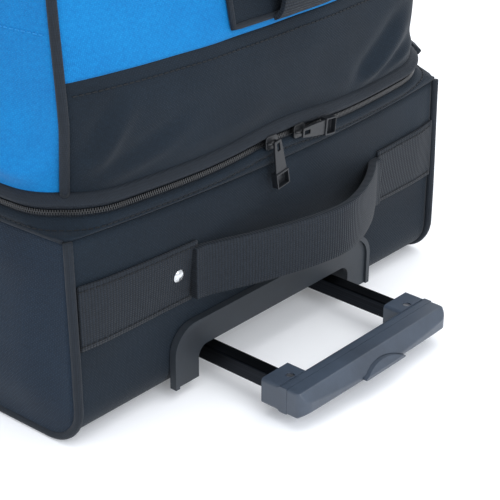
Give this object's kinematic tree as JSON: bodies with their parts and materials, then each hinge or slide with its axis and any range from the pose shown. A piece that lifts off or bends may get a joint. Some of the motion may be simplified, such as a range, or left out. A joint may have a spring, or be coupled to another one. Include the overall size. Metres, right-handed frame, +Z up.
{
  "type": "bowling ball bag",
  "caption": "Wheeled bowling bag with a zipped ball compartment over a shoe compartment, and a pull handle that slides out of a recess in its end.",
  "frame": {"origin": "centre of the tray's flat underside, on the floor", "axes": "+X to the end with the pull handle, +Z up, -Y to the near side panel"},
  "size_m": [0.7235, 0.4278, 0.425],
  "materials": {
    "fabric_black": "woven polyester, charcoal black",
    "fabric_side": "woven polyester, dark slate",
    "fabric_blue": "woven polyester, bright blue",
    "webbing_black": "ribbed nylon webbing",
    "piping_black": "smooth vinyl piping",
    "zip_black": "moulded zip teeth",
    "zip_metal": "black coated zip slider",
    "plastic_black": "moulded plastic, fine grain",
    "grip_plastic": "moulded grip plastic, satin",
    "tube_black": "black anodised tube",
    "steel": "zinc-plated steel",
    "rivet_metal": "polished nickel",
    "tyre_rubber": "solid rubber tread",
    "hub_plastic": "moulded grey wheel hub",
    "foam": "dense foam with a cloth face",
    "board": "stiff plastic board"
  },
  "bodies": {
    "lower_bag": {"lower_side_panel_near": "fabric_side", "lower_side_panel_far": "fabric_side", "lower_gusset": "fabric_black", "lower_piping_near": "piping_black", "lower_piping_far": "piping_black", "lower_zip_facing": "fabric_black", "lower_zip_teeth": "zip_black", "lower_hinge_tape": "webbing_black", "base_board": "board", "undertray": "plastic_black", "handle_housing": "plastic_black", "outer_sleeves": "steel", "sleeve_collars": "plastic_black", "wheel_housing_near": "plastic_black", "wheel_housing_far": "plastic_black", "axle_near": "steel", "axle_far": "steel", "haul_strip": "webbing_black", "haul_handle": "webbing_black", "haul_rivet": "rivet_metal"},
    "upper_bag": {"upper_side_panel_near": "fabric_blue", "upper_side_panel_far": "fabric_blue", "upper_front_band": "fabric_black", "upper_front_panel": "fabric_blue", "upper_rear_panel": "fabric_blue", "upper_zip_teeth": "zip_black", "upper_zip_binding": "fabric_black", "upper_hinge_tape": "webbing_black", "divider_panel": "board", "ball_cradle": "foam", "upper_piping_near": "piping_black", "upper_piping_far": "piping_black", "top_frame": "board", "end_patch": "fabric_black", "end_grab_loop": "webbing_black", "side_tab": "webbing_black", "lid_zip": "zip_black"},
    "lid": {"top_lid": "fabric_blue"},
    "trolley": {"inner_tubes": "tube_black", "tube_feet": "plastic_black", "grip_back_shell": "grip_plastic", "grip_front_shell": "grip_plastic", "grip_screws": "steel"},
    "button": {"grip_button": "grip_plastic", "release_bar": "plastic_black", "release_rods": "steel"},
    "pin_near": {"lock_pin_near": "steel"},
    "pin_far": {"lock_pin_far": "steel"},
    "wheel_near": {"tyre_near": "tyre_rubber", "hub_near": "hub_plastic", "wheel_bearing_near": "steel"},
    "wheel_far": {"tyre_far": "tyre_rubber", "hub_far": "hub_plastic", "wheel_bearing_far": "steel"},
    "slider_near": {"zip_slider_near": "zip_metal"},
    "slider_far": {"zip_slider_far": "zip_metal"},
    "pull_near": {"zip_pull_near": "zip_metal"},
    "pull_far": {"zip_pull_far": "zip_metal"},
    "handle_near": {"carry_handle_near": "webbing_black"},
    "handle_far": {"carry_handle_far": "webbing_black"}
  },
  "joints": [
    {"name": "trolley_slide", "type": "slide", "parent": "lower_bag", "child": "trolley", "axis": [1, 0, 0], "range_m": [-0.1035, 0.3]},
    {"name": "button_press", "type": "slide", "parent": "trolley", "child": "button", "axis": [-1, 0, 0], "range_m": [0, 0.003], "stiffness_N_per_m": 800, "springref_m": -0.001},
    {"name": "pin_near_draw", "type": "slide", "parent": "trolley", "child": "pin_near", "axis": [0, 1, 0], "range_m": [0, 0.001]},
    {"name": "pin_far_draw", "type": "slide", "parent": "trolley", "child": "pin_far", "axis": [0, -1, 0], "range_m": [0, 0.001]},
    {"name": "wheel_near_spin", "type": "hinge", "parent": "lower_bag", "child": "wheel_near", "pos_m": [-0.27, -0.165, 0.038], "axis": [0, 1, 0], "continuous": true},
    {"name": "wheel_far_spin", "type": "hinge", "parent": "lower_bag", "child": "wheel_far", "pos_m": [-0.27, 0.165, 0.038], "axis": [0, 1, 0], "continuous": true},
    {"name": "upper_bag_hinge", "type": "hinge", "parent": "lower_bag", "child": "upper_bag", "pos_m": [-0.3158, 0, 0.176], "axis": [0, -1, 0], "range_deg": [0, 80]},
    {"name": "lid_hinge", "type": "hinge", "parent": "upper_bag", "child": "lid", "pos_m": [-0.2884, 0, 0.4122], "axis": [0, -1, 0], "range_deg": [0, 105]},
    {"name": "slider_near_run", "type": "hinge", "parent": "lower_bag", "child": "slider_near", "pos_m": [-0.98178, 0, 0.176], "axis": [0, 0, 1], "range_deg": [-6.1, 0.4]},
    {"name": "slider_far_run", "type": "hinge", "parent": "lower_bag", "child": "slider_far", "pos_m": [-0.98178, 0, 0.176], "axis": [0, 0, 1], "range_deg": [-0.4, 6.7]},
    {"name": "pull_near_swing", "type": "hinge", "parent": "slider_near", "child": "pull_near", "pos_m": [0.3165, -0.022, 0.176], "axis": [1, 0, 0], "range_deg": [-55, 30]},
    {"name": "pull_far_swing", "type": "hinge", "parent": "slider_far", "child": "pull_far", "pos_m": [0.3165, 0.008, 0.176], "axis": [1, 0, 0], "range_deg": [-84, 0]},
    {"name": "handle_near_lift", "type": "hinge", "parent": "upper_bag", "child": "handle_near", "pos_m": [0, -0.2096, 0.392], "axis": [-1, 0, 0], "range_deg": [0, 170]},
    {"name": "handle_far_lift", "type": "hinge", "parent": "upper_bag", "child": "handle_far", "pos_m": [0, 0.2096, 0.392], "axis": [1, 0, 0], "range_deg": [0, 170]}
  ],
  "couplings": [
    {"joint": "pin_near_draw", "follows": "button_press", "ratio": 0.333},
    {"joint": "pin_far_draw", "follows": "button_press", "ratio": 0.333}
  ]
}
